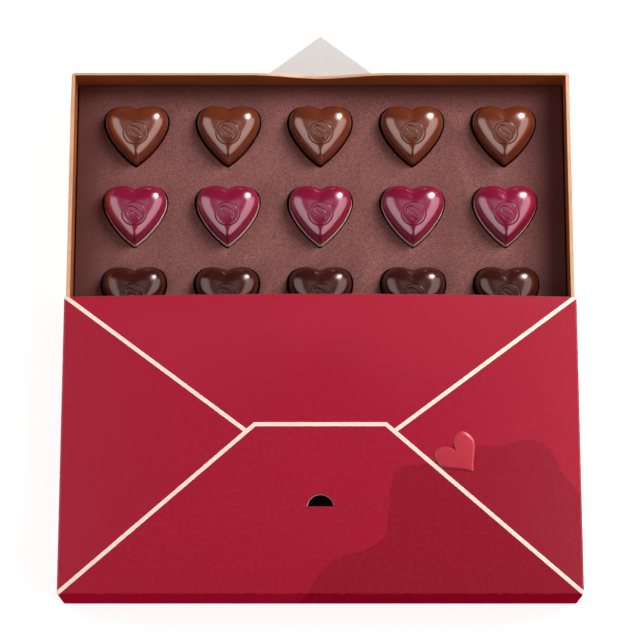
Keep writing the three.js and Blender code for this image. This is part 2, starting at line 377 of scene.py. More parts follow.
def cut_beside(line, half_width):
    (ax, ay), (bx, by) = line
    length = math.hypot(bx - ax, by - ay)
    normal = Vector((-(by - ay) / length, (bx - ax) / length, 0))
    for side in (-half_width, half_width):
        pick("FACE", lambda p, face: p.z > ABOVE_FOLDS and face.normal.z > 0.1)
        spot = Vector((ax, ay, 0)) + normal * side
        bpy.ops.mesh.bisect(plane_co=spot * MM, plane_no=normal)


def on_foil(x, y):
    x = -abs(x)
    from_front_flap, _ = across(FRONT_FLAP_LINE, x, y)
    from_top_flap, _ = across(TOP_FLAP_LINE, x, y)
    below_point = POINT_Y - y
    flap_depth = min(below_point, from_front_flap)
    if abs(flap_depth) < FOIL_HALF:
        return True
    return flap_depth < 0 and abs(from_top_flap) < FOIL_HALF


edit(sleeve)
for line in (FRONT_FLAP_LINE, TOP_FLAP_LINE):
    cut_beside(line, FOIL_HALF)
    cut_beside(mirrored(line), FOIL_HALF)
cut_beside(((-1, POINT_Y), (1, POINT_Y)), FOIL_HALF)
bpy.ops.object.mode_set(mode="OBJECT")
foil_faces = 0
for polygon in sleeve.data.polygons:
    centre = polygon.center / MM
    if centre.z > ABOVE_FOLDS and on_foil(centre.x, centre.y):
        polygon.material_index = FOIL
        foil_faces += 1
print("foil faces:", foil_faces)

# %% [markdown]
# The print is an even red with a weaker gloss than the foil, on paper whose grain just shows. A
# darker hill of the same red rolls over the front right part. Its upper line is a curve drawn over
# the sleeve's width, so it stays crisp and goes on over the front edge. Along the folds the ink
# has cracked a little and shows paler. The side panels are the same print with no gloss, painted
# a shade darker as painted shade.

# %% Print, foil and card
CLEAR_RED, DEEP_RED = (0.393, 0.0033, 0.025), (0.302, 0.0011, 0.0165)
# The side reds are the print painted a shade darker, as painted shade.
SHADED_SIDE_TONE, SHADED_DEEP_SIDE_TONE = (0.35, 0.003, 0.022), (0.27, 0.001, 0.014)
# The raised heart's paler red is a painted sheen.
CRACKED_RED, RAISED_SHEEN_RED = (0.62, 0.12, 0.14), (0.53, 0.032, 0.055)
WAVE_LINE = (
    (-13, -179), (-6, -146), (7, -130), (24, -124), (31, -118), (33.2, -98), (37.5, -86),
    (49, -84), (64, -79), (76, -74.5), (83, -75.5), (98, -72), (108, -74.5), (116, -88),
    (125, -100),
)
WAVE_BLUR = 0.25 * MM
SLEEVE_HALF, SLEEVE_DEEP = 0.125, 0.185
CRACK_REACH = (0.35 * MM, 1.1 * MM)
PRINT_GRAIN, FOIL_GRAIN, CARD_GRAIN = 0.006 * MM, 0.01 * MM, 0.05 * MM


def wave_share(material):
    """1 on the darker hill, 0 off it and on the sleeve's underside."""
    x, y, z = axes(material)
    curve = node(material, "ShaderNodeFloatCurve")
    points = curve.mapping.curves[0].points
    places = [
        ((x_mm * MM / SLEEVE_HALF + 1) / 2, 1 + y_mm * MM / SLEEVE_DEEP)
        for x_mm, y_mm in WAVE_LINE
    ]
    points[0].location, points[1].location = (0, 0), places[-1]
    for place in places[:-1]:
        points.new(*place)
    curve.mapping.update()
    along = share_of(material, x, -SLEEVE_HALF, SLEEVE_HALF)
    material.node_tree.links.new(along, curve.inputs["Value"])
    line = share_of(material, curve.outputs[0], 0, 1, -SLEEVE_DEEP, 0)
    on_front = share_of(material, y, (front_y + 0.6) * MM, (front_y + 0.1) * MM)
    down_front = calc(material, "MULTIPLY", calc(material, "SUBTRACT", top_z * MM, z), on_front)
    unfolded = calc(material, "SUBTRACT", y, down_front)
    inside = share_of(material, calc(material, "SUBTRACT", line, unfolded), -WAVE_BLUR, WAVE_BLUR)
    return calc(material, "MULTIPLY", inside, share_of(material, z, 0.4 * MM, 0.8 * MM))


def fold_share(material):
    """1 on the folds along the sleeve's sides and front, 0 elsewhere."""
    x, y, z = axes(material)
    half_height = top_z * MM / 2
    out = calc(material, "SUBTRACT", calc(material, "ABSOLUTE", x), SLEEVE_HALF)
    off_middle = calc(material, "ABSOLUTE", calc(material, "SUBTRACT", z, half_height))
    up = calc(material, "SUBTRACT", off_middle, half_height)
    ahead = calc(material, "ADD", y, -front_y * MM)
    side_fold = node(material, "ShaderNodeCombineXYZ", None, {0: out, 1: up})
    front_fold = node(material, "ShaderNodeCombineXYZ", None, {0: ahead, 1: up})
    reaches = []
    for fold, spared in ((side_fold, 0), (front_fold, 0.4 * MM)):
        inputs = {0: fold.outputs[0]}
        reach = node(material, "ShaderNodeVectorMath", {"operation": "LENGTH"}, inputs)
        reaches.append(calc(material, "ADD", reach.outputs["Value"], spared))
    nearest = calc(material, "MINIMUM", *reaches)
    return share_of(material, nearest, *CRACK_REACH, 1, 0)


def make_print(name, specular, clear=CLEAR_RED, deep=DEEP_RED, shine=(0.30, 0.40)):
    made = new_material(name, clear, 0.5, specular=specular)
    red = mixed(made, wave_share(made), clear, deep)
    cloud = share_of(made, noise(made, 35), 0.3, 0.7, 0, 0.14)
    clouded = mixed(made, cloud, red, DEEP_RED)
    fleck = share_of(made, noise(made, 900, 4), 0.50, 0.70, 0, 0.02)
    flecked = mixed(made, fleck, clouded, CRACKED_RED)
    cracks = share_of(made, noise(made, 450, 5), 0.42, 0.62, 0.05, 0.5)
    cracked = mixed(made, calc(made, "MULTIPLY", fold_share(made), cracks), flecked, CRACKED_RED)
    gloss = share_of(made, noise(made, 500, 3), 0.3, 0.7, *shine)
    dress(made, cracked, gloss, noise(made, 1100, 4), PRINT_GRAIN)
    return made


red_print = make_print("red_print", 0.42)
# The side panels' darker red is painted shade.
shaded_red_side = make_print("red_print_side_shaded", 0.0, SHADED_SIDE_TONE, SHADED_DEEP_SIDE_TONE)

foil = new_material("pale_foil", (1.0, 0.80, 0.68), 0.5, specular=1.0)
foil_shader = foil.node_tree.nodes["Principled BSDF"]
foil_shader.inputs["IOR"].default_value = 1.8
foil_shader.inputs["Specular Tint"].default_value = (1, 0.72, 0.62, 1)
cloud = share_of(foil, noise(foil, 160, 3), 0.35, 0.65)
foil_tone = mixed(foil, cloud, (1.0, 0.83, 0.70), (1.0, 0.76, 0.61))
foil_gloss = share_of(foil, noise(foil, 600, 3), 0.3, 0.7, 0.46, 0.60)
dress(foil, foil_tone, foil_gloss, noise(foil, 1500, 3), FOIL_GRAIN)

card_inside = new_material("card_inside", (0.61, 0.62, 0.60), 0.85, specular=0.15)
fibre = noise(card_inside, 700, 4, (1, 0.4, 1))
fibre_share = share_of(card_inside, fibre, 0.35, 0.65)
card_tone = mixed(card_inside, fibre_share, (0.66, 0.665, 0.65), (0.635, 0.64, 0.625))
card_gloss = share_of(card_inside, fibre, 0.3, 0.7, 0.78, 0.92)
dress(card_inside, card_tone, card_gloss, noise(card_inside, 1200, 4), CARD_GRAIN)

card_edge = new_material("card_edge", (0.60, 0.42, 0.40), 0.9, specular=0.1)
layer = noise(card_edge, 900, 3, (0.2, 0.2, 3))
layer_share = share_of(card_edge, layer, 0.35, 0.65)
edge_tone = mixed(card_edge, layer_share, (0.66, 0.50, 0.47), (0.48, 0.28, 0.28))
dress(card_edge, edge_tone, share_of(card_edge, layer, 0.3, 0.7, 0.8, 0.95), layer, CARD_GRAIN)

SLEEVE_FINISHES = {
    RED: red_print,
    FOIL: foil,
    INSIDE: card_inside,
    INSIDE_OF_FOIL: card_inside,
    RAW_EDGE: card_edge,
    RAW_EDGE_OF_FOIL: card_edge,
    RED_SIDE: shaded_red_side,
}
for slot in sorted(SLEEVE_FINISHES):
    sleeve.data.materials.append(SLEEVE_FINISHES[slot])
print("sleeve finishes:", [finish.name for finish in sleeve.data.materials])

# %% [markdown]
# Solidify turns the folded sheet into card: the print stays outside and the plain side inside,
# with its own material. The thumb notch and its slit are then cut through the top by a Boolean,
# as a die cuts them. Cutting after the thickness is made gives the cut its own pale edge.

# %% Card thickness, thumb notch and slit
SLIT_Y, SLIT_WIDTH, SLIT_GAP, SLIT_OVERLAP = -104.2, 26, 0.18, 0.02
NOTCH_CUT, SLIT_CUT = 3, 4
NOTCH_WIDTH, NOTCH_RISE = 12.4, 5.4
LIP_ROUND = 0.2
NOTCH_RADIUS = ((NOTCH_WIDTH / 2) ** 2 + NOTCH_RISE**2) / (2 * NOTCH_RISE)
notch_centre = SLIT_Y + NOTCH_RISE - NOTCH_RADIUS

apply_modifier(
    sleeve,
    "SOLIDIFY",
    thickness=CARD * MM,
    offset=-1,
    use_even_offset=True,
    material_offset=INSIDE,
    material_offset_rim=RAW_EDGE,
)

deselect_all()
bpy.ops.mesh.primitive_cylinder_add(
    vertices=96,
    radius=NOTCH_RADIUS * MM,
    depth=NOTCH_CUT * MM,
    location=(0, notch_centre * MM, top_z * MM),
)
notch = bpy.context.object
bpy.ops.object.transform_apply(location=True, rotation=True, scale=True)
edit(notch)
bpy.ops.mesh.select_all(action="SELECT")
bpy.ops.mesh.bisect(
    plane_co=(0, SLIT_Y * MM, 0), plane_no=(0, 1, 0), clear_inner=True, use_fill=True
)
bpy.ops.object.mode_set(mode="OBJECT")
slit_low = (-SLIT_WIDTH / 2, SLIT_Y - SLIT_GAP, top_z - SLIT_CUT / 2)
slit_high = (SLIT_WIDTH / 2, SLIT_Y + SLIT_OVERLAP, top_z + SLIT_CUT / 2)
slit = block("slit", slit_low, slit_high)
for cutter in (notch, slit):
    for material in sleeve.data.materials:
        cutter.data.materials.append(material)
    for polygon in cutter.data.polygons:
        polygon.material_index = RAW_EDGE
    apply_modifier(sleeve, "BOOLEAN", operation="DIFFERENCE", object=cutter, solver="EXACT")
    bpy.data.objects.remove(cutter)
# Faces turned to the sides or to the front get the print painted darker, as painted shade.
side_faces = 0
for polygon in sleeve.data.polygons:
    to_front = polygon.normal.y < -0.2
    if polygon.material_index == RED and (abs(polygon.normal.z) < 0.5 or to_front):
        polygon.material_index = RED_SIDE
        side_faces += 1
print("side faces:", side_faces)


def along_mouth(edge):
    """Whether an edge runs along the mouth rather than into the sleeve."""
    first, second = (corner.co for corner in edge.verts)
    return abs(first.x - second.x) > abs(first.y - second.y)


edit(sleeve)
lip = pick(
    "EDGE",
    lambda p, edge: p.y > mouth_y - 0.5
    and near(p.z, top_z)
    and near(abs(edge.calc_face_angle(0)), math.pi / 2, 0.3)
    and along_mouth(edge),
)
bpy.ops.mesh.bevel(offset=LIP_ROUND * MM, segments=2, affect="EDGES", clamp_overlap=True)
bpy.ops.object.mode_set(mode="OBJECT")
print("lip edges rounded:", lip)
edit(sleeve)
pick(
    "EDGE",
    lambda p, edge: near(p.z, top_z)
    and p.y > SLIT_Y + 0.1
    and near(math.hypot(p.x, p.y - notch_centre), NOTCH_RADIUS, 0.05),
)
bpy.ops.mesh.bevel(offset=LIP_ROUND * MM, segments=1, affect="EDGES", material=RAW_EDGE)
bpy.ops.object.mode_set(mode="OBJECT")
smooth(sleeve)
report(sleeve)

# %% [markdown]
# The tray is a card box whose walls are rolled over, so its rim is soft. It starts as a solid
# block. The top face is inset by the wall and pushed down, which leaves four walls and a floor in
# one closed mesh. The back wall then dips in the middle to let a finger in.

# %% Tray
TRAY_LOW, TRAY_HIGH = (-124.15, -29.6, 0.9), (124.15, 115.4, 31.1)
WALL, BACK_WALL, TRAY_FLOOR = 1.9, 1.35, 1.2
TRAY_CORNER, RIM_ROUND = 1.9, 0.64
DIP_HALF, DIP_DEPTH, DIP_EASE = 32.5, 5.3, 0.06
DIP_STEPS = 14
BACK_STRIP = 3

tray = block("card_tray", TRAY_LOW, TRAY_HIGH)
rim_z, back_y = TRAY_HIGH[2], TRAY_HIGH[1]
edit(tray)
pick("EDGE", lambda p, edge: near(p.z, (TRAY_LOW[2] + rim_z) / 2))
bpy.ops.mesh.bevel(offset=TRAY_CORNER * MM, segments=5, affect="EDGES")
pick("FACE", lambda p, face: near(p.z, rim_z))
bpy.ops.mesh.inset(thickness=WALL * MM)
raise_faces(TRAY_LOW[2] + TRAY_FLOOR - rim_z)
inner_x, inner_back = TRAY_HIGH[0] - WALL + 0.05, back_y - WALL + 0.05
corner_y = back_y - TRAY_CORNER - 0.3
pick("VERT", lambda p, v: corner_y < p.y < inner_back and abs(p.x) < inner_x)
move(y=WALL - BACK_WALL)


def dip(x):
    """How deep the back rim lies at x: a shallow V with eased shoulders and foot."""
    share = max(0.0, 1 - abs(x) / DIP_HALF)
    eased = share - DIP_EASE * math.sin(2 * math.pi * share)
    return DIP_DEPTH * eased


for i in range(-DIP_STEPS, DIP_STEPS + 1):
    spot = DIP_HALF * i / DIP_STEPS
    pick("FACE", lambda p, face: p.y > back_y - BACK_STRIP and p.z > TRAY_LOW[2] + 2)
    bpy.ops.mesh.bisect(plane_co=(spot * MM, 0, 0), plane_no=(1, 0, 0))
for i in range(1 - DIP_STEPS, DIP_STEPS):
    spot = DIP_HALF * i / DIP_STEPS
    pick("VERT", lambda p, v: near(p.x, spot) and p.y > back_y - BACK_STRIP and near(p.z, rim_z))
    move(z=-dip(spot))
rim_edges = pick(
    "EDGE",
    lambda p, edge: p.z > rim_z - DIP_DEPTH - 0.5
    and len(edge.link_faces) == 2
    and edge.calc_face_angle() > math.radians(60),
)
bpy.ops.mesh.bevel(offset=RIM_ROUND * MM, segments=6, affect="EDGES", clamp_overlap=True)
bpy.ops.object.mode_set(mode="OBJECT")
print("rim edges rounded:", rim_edges)
finish_mesh(tray)

# %% [markdown]
# Where the rolled walls meet at a corner, the side wall's roll ends in a tab with an open seam. A
# thin block cuts that seam into the outer half of the rim, a little in from each corner.

# %% Corner seams in the rim
SEAM_FROM_CORNER, SEAM_GAP, SEAM_DEPTH, SEAM_REACH = 2.3, 0.28, 0.7, 0.85

for side in (-1, 1):
    for seam_y in (back_y - SEAM_FROM_CORNER, TRAY_LOW[1] + SEAM_FROM_CORNER):
        outer, inner = side * (TRAY_HIGH[0] + 1), side * (TRAY_HIGH[0] - SEAM_REACH)
        low = (min(outer, inner), seam_y - SEAM_GAP / 2, rim_z - SEAM_DEPTH)
        high = (max(outer, inner), seam_y + SEAM_GAP / 2, rim_z + 1)
        seam = block("seam", low, high)
        apply_modifier(tray, "BOOLEAN", operation="DIFFERENCE", object=seam, solver="EXACT")
        bpy.data.objects.remove(seam)
smooth(tray, 40)
report(tray)

# %% [markdown]
# The tray's card is laminated with copper film: half mirror, half pigment, with a faint orange
# peel. The rim's upper faces get a paler copper of their own, a painted highlight where the rolled
# rim catches the light. It is given by face, so its edge is as crisp in the dip as elsewhere.
# Down in the tray the walls take the colour of the felt, which the light does by itself.

# %% Copper film
COPPER, DULL_COPPER = (0.57, 0.178, 0.056), (0.48, 0.14, 0.042)
# The rim's copper is painted paler, as the highlight the rolled rim catches.
LIT_RIM_COPPER, LIT_RIM_DULL_COPPER = (0.98, 0.55, 0.35), (0.86, 0.43, 0.25)
FILM_GRAIN = 0.04 * MM
RIM_REACH, RIM_TILT = 1.1, 0.15
ON_RIM = 1


def make_copper(name, clear, dull, specular):
    made = new_material(name, clear, 0.38, metallic=0.5, specular=specular)
    peel = noise(made, 260, 4)
    cloudy = noise(made, 22, 2, (1, 1, 3))
    tone = mixed(made, share_of(made, cloudy, 0.35, 0.65), clear, dull)
    gloss = share_of(made, peel, 0.3, 0.7, 0.30, 0.46)
    dress(made, tone, gloss, noise(made, 700, 4), FILM_GRAIN)
    return made


tray.data.materials.append(make_copper("copper_card", COPPER, DULL_COPPER, 0.25))
# The rim's paler copper is a painted highlight.
tray.data.materials.append(make_copper("copper_rim_highlight", LIT_RIM_COPPER, LIT_RIM_DULL_COPPER, 0.5))
rim_faces = 0
for polygon in tray.data.polygons:
    x, y, z = polygon.center / MM
    rim_here = rim_z - (dip(x) if y > back_y - BACK_STRIP else 0)
    if z > rim_here - RIM_REACH and polygon.normal.z > RIM_TILT:
        polygon.material_index = ON_RIM
        rim_faces += 1
print("copper film on", len(tray.data.polygons), "faces, the rim on", rim_faces)

# %% [markdown]
# A heart outline is a closed curve with five control points: the cleft, the two widest places and
# the two ends of the rounded tip. It starts as a round curve and its points are set by shares of
# the heart's width and length, so one recipe serves the pralines, their wells and the raised
# heart.

# %% Heart outlines
TIP_ROUND, TIP_SPREAD, CROWN_AT = 0.055, 0.094, 0.535
PRALINE_HEART = {
    "cleft": 0.060,
    "rise": (0.28, -0.025),
    "lobe": -0.04,
    "widest": 0.27,
    "flank": 0.49,
    "low": (0.45, 0.82),
}
RAISED_HEART = {
    "cleft": 0.31,
    "rise": (0.10, -0.04),
    "lobe": -0.20,
    "widest": 0.33,
    "flank": 0.51,
    "low": (0.26, 0.77),
}


def flipped(share):
    """The same place on the heart's other half."""
    return (-share[0], share[1])


def heart_ring(name, style, width, length, z, steps, merge):
    """A closed ring of vertices in a heart's outline, its crown on the Z axis, its tip to -Y."""
    half = width / 2

    def place(across_share, down_share):
        return Vector((half * across_share, length * (CROWN_AT - down_share), 0)) * MM

    deselect_all()
    bpy.ops.curve.primitive_bezier_circle_add(radius=half * MM)
    ring = bpy.context.object
    ring.name = name
    ring.data.resolution_u = steps
    spline = ring.data.splines[0]
    spline.bezier_points.add(1)
    tip, tip_pull = (TIP_SPREAD, 1 - TIP_ROUND), (TIP_SPREAD / 3, 1 - TIP_ROUND / 3)
    layout = [
        ((0, style["cleft"]), flipped(style["rise"]), style["rise"]),
        ((1, style["widest"]), (1, style["lobe"]), (1, style["flank"])),
        (tip, style["low"], tip_pull),
        (flipped(tip), flipped(tip_pull), flipped(style["low"])),
        ((-1, style["widest"]), (-1, style["flank"]), (-1, style["lobe"])),
    ]
    for point, (at, before, after) in zip(spline.bezier_points, layout):
        point.handle_left_type = point.handle_right_type = "FREE"
        point.co = place(*at)
        point.handle_left = place(*before)
        point.handle_right = place(*after)
    ring.data.dimensions = "2D"
    ring.data.fill_mode = "NONE"
    bpy.ops.object.convert(target="MESH")
    edit(ring)
    bpy.ops.mesh.select_all(action="SELECT")
    bpy.ops.mesh.remove_doubles(threshold=merge * MM)
    bpy.ops.mesh.select_all(action="SELECT")
    move(z=z)
    bpy.ops.object.mode_set(mode="OBJECT")
    return ring


# %% [markdown]
# The insert is a thick felted block. The wells are cut by a Boolean with one cutter that holds
# all fifteen hearts, and a narrow bevel softens every rim, because felt has no sharp edge. Each
# well lies a little to the front left of its heart, because the photo shows the gap only there.

# %% Insert with its wells
INSERT_LOW, INSERT_HIGH = (-121.5, -27.3, 2.1), (121.5, 113.5, 17)
INSERT_CORNER, FELT_SOFTNESS = 1.0, 0.3
WELL_BOTTOM, WELL_CUT = 14, 6
WELL_SPREAD = 2.0
WELL_SHIFT = (-0.25, -0.45)
HEART_WIDTH, HEART_LENGTH = 31, 31.4
COLUMNS, COLUMN_PITCH, ROW_PITCH = 5, 46, 42
BACK_ROW_TIP_Y = 70.8
CROWN_Y = BACK_ROW_TIP_Y + HEART_LENGTH * (1 - CROWN_AT)
PLACES = [
    [((column - 2) * COLUMN_PITCH, CROWN_Y - row * ROW_PITCH) for column in range(COLUMNS)]
    for row in range(3)
]

insert = block("felt_insert", INSERT_LOW, INSERT_HIGH)
edit(insert)
pick("EDGE", lambda p, edge: near(p.z, (INSERT_LOW[2] + INSERT_HIGH[2]) / 2))
bpy.ops.mesh.bevel(offset=INSERT_CORNER * MM, segments=4, affect="EDGES")
bpy.ops.object.mode_set(mode="OBJECT")

well_width, well_length = HEART_WIDTH + WELL_SPREAD, HEART_LENGTH + WELL_SPREAD
well = heart_ring(
    "well", PRALINE_HEART, well_width, well_length, WELL_BOTTOM, steps=18, merge=0.5
)
edit(well)
bpy.ops.mesh.select_all(action="SELECT")
bpy.ops.mesh.edge_face_add()
raise_faces(WELL_CUT)
bpy.ops.object.mode_set(mode="OBJECT")
finish_mesh(well)

# %% [markdown]
# Felt is a mat of short fibres, so close up it is salt and pepper: flecks of a lighter and a
# darker brown half a millimetre wide, under soft clouds where the pile leans. It has no gloss but
# a faint sheen at low angles. Near the block's sides and back the colour is painted darker, as a
# painted shadow of the tray's walls. The wells get a near-black felt, painted shade in the gap
# round each praline.

# %% Felt
# The felt near the walls is painted darker, a painted shadow of the tray's walls.
WALL_SHADOW_REACH = 34
WALL_SHADOW_PILE = (0.10, 0.034, 0.031)
PILE_TONES = ((0.34, 0.138, 0.126), (0.128, 0.044, 0.040), (0.185, 0.070, 0.063))
# The wells' tones are near black: painted shade in the gap round each praline.
WELL_SHADE_TONES = ((0.05, 0.018, 0.015), (0.02, 0.007, 0.006), (0.03, 0.011, 0.009))
PILE_SHEEN, PILE_GRAIN = 0.08, 0.10 * MM
IN_WELL = 1


def make_felt(name, light, dark, shade):
    made = new_material(name, light, 1.0, specular=0.05)
    fleck = share_of(made, noise(made, 1900, 3), 0.35, 0.65)
    cloud = share_of(made, noise(made, 55, 3), 0.35, 0.65, 0, 0.35)
    pile = mixed(made, cloud, mixed(made, fleck, dark, light), shade)
    x, y, z = axes(made)
    # Painted shadow of the tray's walls: the felt is darker near the sides and the back.
    from_sides = calc(made, "SUBTRACT", INSERT_HIGH[0] * MM, calc(made, "ABSOLUTE", x))
    from_back = calc(made, "SUBTRACT", INSERT_HIGH[1] * MM, y)
    from_edge = calc(made, "MINIMUM", from_sides, calc(made, "MULTIPLY", from_back, 2))
    pressed = share_of(made, from_edge, 0, WALL_SHADOW_REACH * MM, 0.85, 0, "SMOOTHSTEP")
    pile = mixed(made, pressed, pile, WALL_SHADOW_PILE)
    fibre = noise(made, 2600, 4)
    dress(made, pile, share_of(made, fibre, 0.3, 0.7, 0.88, 1.0), fibre, PILE_GRAIN)
    return made


felt = make_felt("felt", *PILE_TONES)
felt.node_tree.nodes["Principled BSDF"].inputs["Sheen Weight"].default_value = PILE_SHEEN
# The wells' felt is painted near black, as the shade in the gap round each praline.
well_shade_felt = make_felt("well_shade_felt", *WELL_SHADE_TONES)
print("felts:", felt.name, well_shade_felt.name)

# %% [markdown]
# Each well is a copy of the one cutter, moved to its heart's place. The copies are joined, because
# one Boolean with fifteen hearts is quicker and safer than fifteen with one. A Boolean gives the
# faces it cuts the cutter's own finish, so the wells come out in the near-black felt that paints
# the shade in the gaps.

# %% Wells cut into the insert
wells = []
for row in PLACES:
    for x, y in row:
        copy = well.copy()
        copy.data = well.data.copy()
        bpy.context.collection.objects.link(copy)
        copy.location = ((x + WELL_SHIFT[0]) * MM, (y + WELL_SHIFT[1]) * MM, 0)
        wells.append(copy)
bpy.data.objects.remove(well)
deselect_all()
for copy in wells:
    copy.select_set(True)
bpy.context.view_layer.objects.active = wells[0]
bpy.ops.object.join()
cutter = bpy.context.object
bpy.ops.object.transform_apply(location=True, rotation=True, scale=True)
for felt_kind in (felt, well_shade_felt):
    insert.data.materials.append(felt_kind)
    cutter.data.materials.append(felt_kind)
for polygon in cutter.data.polygons:
    polygon.material_index = IN_WELL
apply_modifier(insert, "BOOLEAN", operation="DIFFERENCE", object=cutter, solver="EXACT")
bpy.data.objects.remove(cutter)
edit(insert)
top_edges = pick(
    "EDGE",
    lambda p, edge: near(p.z, INSERT_HIGH[2])
    and len(edge.link_faces) == 2
    and edge.calc_face_angle() > math.radians(60),
)
bpy.ops.mesh.bevel(offset=FELT_SOFTNESS * MM, segments=2, affect="EDGES", clamp_overlap=True)
bpy.ops.object.mode_set(mode="OBJECT")
print("felt edges softened:", top_edges)
smooth(insert, 40)
report(insert)

# %% [markdown]
# A moulded praline has steep sides, a full shoulder and a nearly flat crown. Its outline is
# extruded upwards ring by ring, each ring a little smaller and a little rounder than the one
# below. The rounding waits until the crown, so a soft ridge runs down to the tip and a soft valley
# up to the cleft. The rings are close together where the emblem goes.
#
# The gloss shows every unevenness of the mesh. So the valley is sunk in four narrowing steps, the
# ridge is rounded, and the whole crown is then eased in passes that reach lower and lower and do
# less and less. No pass leaves an edge, and a reflection runs over the dome without a break.

# %% One whole praline
HEART_RIM_Z, HEART_TOP_Z = 18.4, 27.6
DOME_FLATNESS, DOME_SHOULDER = 2.5, 0.40
ROUND_FROM, ROUNDING = 0.15, 3.0
FOOT_LEDGE = 0.98
CLEFT_FROM, CLEFT_REACH, CLEFT_ABOVE = 6.0, 8.0, 2
CLEFT_STEPS = ((3.0, 0.11), (2.2, 0.13), (1.5, 0.16), (0.8, 0.16))
EASE = ((6.8, 60), (6.3, 30), (5.7, 16), (5.0, 10), (4.2, 7), (3.3, 5), (2.3, 4))
RIDGE_FROM, RIDGE_ABOVE = -2, 1.6
RIDGE_STEPS = ((1.4, 50), (2.4, 20))
EASING = 0.5
SHOULDER_RINGS = [
    0.999, 0.995, 0.988, 0.978, 0.965, 0.95, 0.93, 0.905, 0.88, 0.855, 0.83, 0.805, 0.78, 0.76
]
EMBLEM_RING_STEP = 0.0085
CROWN_RINGS = [0.745 - EMBLEM_RING_STEP * i for i in range(84)]


def dome_height(share):
    return (1 - share**DOME_FLATNESS) ** DOME_SHOULDER


def roundness(share):
    return min(1.0, ((1 - share) / (1 - ROUND_FROM)) ** ROUNDING)


def raise_dome():
    """In edit mode, with the rim's face selected, raises the dome over it ring by ring."""
    before, height_before = 1.0, 0.0
    for share in SHOULDER_RINGS + CROWN_RINGS:
        height = (HEART_TOP_Z - HEART_RIM_Z) * dome_height(share)
        raise_faces(height - height_before)
        narrow(share / before, HEART_RIM_Z + height)
        left = 1 - roundness(before)
        turn = 1.0 if left < 1e-6 else (roundness(share) - roundness(before)) / left
        if turn > 0:
            centre = (0, 0, (HEART_RIM_Z + height) * MM)
            bpy.ops.transform.tosphere(value=min(1.0, turn), center_override=centre)
        before, height_before = share, height
    bpy.ops.mesh.poke()
    for wide, sink in CLEFT_STEPS:
        pick(
            "VERT",
            lambda p, v: p.z > HEART_RIM_Z + CLEFT_ABOVE
            and abs(p.x) < wide * (p.y - CLEFT_FROM) / CLEFT_REACH,
        )
        move(z=-sink)
    for reach, rounds in RIDGE_STEPS:
        pick(
            "VERT",
            lambda p, v: abs(p.x) < reach
            and p.y < RIDGE_FROM
            and p.z > HEART_RIM_Z + RIDGE_ABOVE,
        )
        bpy.ops.mesh.vertices_smooth(factor=EASING, repeat=rounds)
    for above, rounds in EASE:
        pick("VERT", lambda p, v: p.z > HEART_RIM_Z + above)
        bpy.ops.mesh.vertices_smooth(factor=EASING, repeat=rounds)


def flat_heart(name, share, z):
    """A filled heart outline, left in edit mode with its face selected."""
    width, length = HEART_WIDTH * share, HEART_LENGTH * share
    made = heart_ring(name, PRALINE_HEART, width, length, z, steps=36, merge=0.15)
    edit(made)
    bpy.ops.mesh.select_all(action="SELECT")
    bpy.ops.mesh.edge_face_add()
    return made


heart = flat_heart("whole_heart", 1.0, WELL_BOTTOM)
raise_faces(HEART_RIM_Z - WELL_BOTTOM)
raise_faces(0)
narrow(FOOT_LEDGE, HEART_RIM_Z)
raise_dome()
bpy.ops.object.mode_set(mode="OBJECT")
report(heart)

# %% [markdown]
# The mould leaves a sunk emblem on each crown: a ring, and in it a cocoa bean with its crease. The
# lines are pressed in by four narrowing steps, so their sides slope and catch the light. What lies
# deepest in a line gets a matter finish of its own, painted darker as the shade in the groove.

# %% Emblem pressed into the crown
RING_RADIUS = 6.0
BEAN_LENGTH, BEAN_WIDTH, BEAN_TURN = 9.0, 5.2, math.radians(-45)
CREASE_SWAY = 0.45
GROOVE_STEPS = (0.31, 0.24, 0.17, 0.10)
GROOVE_STEP_DEPTH = 0.095
GROOVE_FLOOR = 0.20
EMBLEM_ABOVE, LINE_POINTS = 6, 1440
IN_GROOVE = 1


def press_emblem(piece):
    line = []
    for i in range(LINE_POINTS):
        turn = math.radians(i * 360 / LINE_POINTS)
        line.append((RING_RADIUS * math.cos(turn), RING_RADIUS * math.sin(turn)))
        along, beside = BEAN_LENGTH / 2 * math.cos(turn), BEAN_WIDTH / 2 * math.sin(turn)
        sway = CREASE_SWAY * math.sin(math.tau * along / BEAN_LENGTH)
        for offset in (beside, sway):
            x = along * math.cos(BEAN_TURN) - offset * math.sin(BEAN_TURN)
            y = along * math.sin(BEAN_TURN) + offset * math.cos(BEAN_TURN)
            line.append((x, y))
    tree = KDTree(len(line))
    for i, (x, y) in enumerate(line):
        tree.insert((x, y, 0), i)
    tree.balance()
    edit(piece)
    pressed = 0
    for half in GROOVE_STEPS:
        pressed += pick(
            "VERT",
            lambda p, v: p.z > HEART_RIM_Z + EMBLEM_ABOVE
            and math.hypot(p.x, p.y) < RING_RADIUS + 1
            and tree.find((p.x, p.y, 0))[2] < half,
        )
        move(z=-GROOVE_STEP_DEPTH)
    bpy.ops.object.mode_set(mode="OBJECT")
    # The deepest faces of each line get the groove finish, painted darker as shade.
    for polygon in piece.data.polygons:
        x, y, z = polygon.center / MM
        if z > HEART_RIM_Z + EMBLEM_ABOVE and tree.find((x, y, 0))[2] < GROOVE_FLOOR:
            polygon.material_index = IN_GROOVE
    print("points pressed into", piece.name, pressed)


press_emblem(heart)
finish_mesh(heart)
smooth(heart, 50)
report(heart)

# %% [markdown]
# Polished chocolate is nearly one colour with a soft cloudiness, and its gloss is uneven: clearer
# in some places, hazed by fine marks in others. Its surface isn't quite true, so a band of light
# wavers on it. The gloss is tinted a little, which keeps the pale bands as warm as in the photo.
# The ruby's base is a matter chocolate of a paler pink, and the lines of the emblems are matter
# and painted darker than the crowns round them, as painted shade in the grooves.

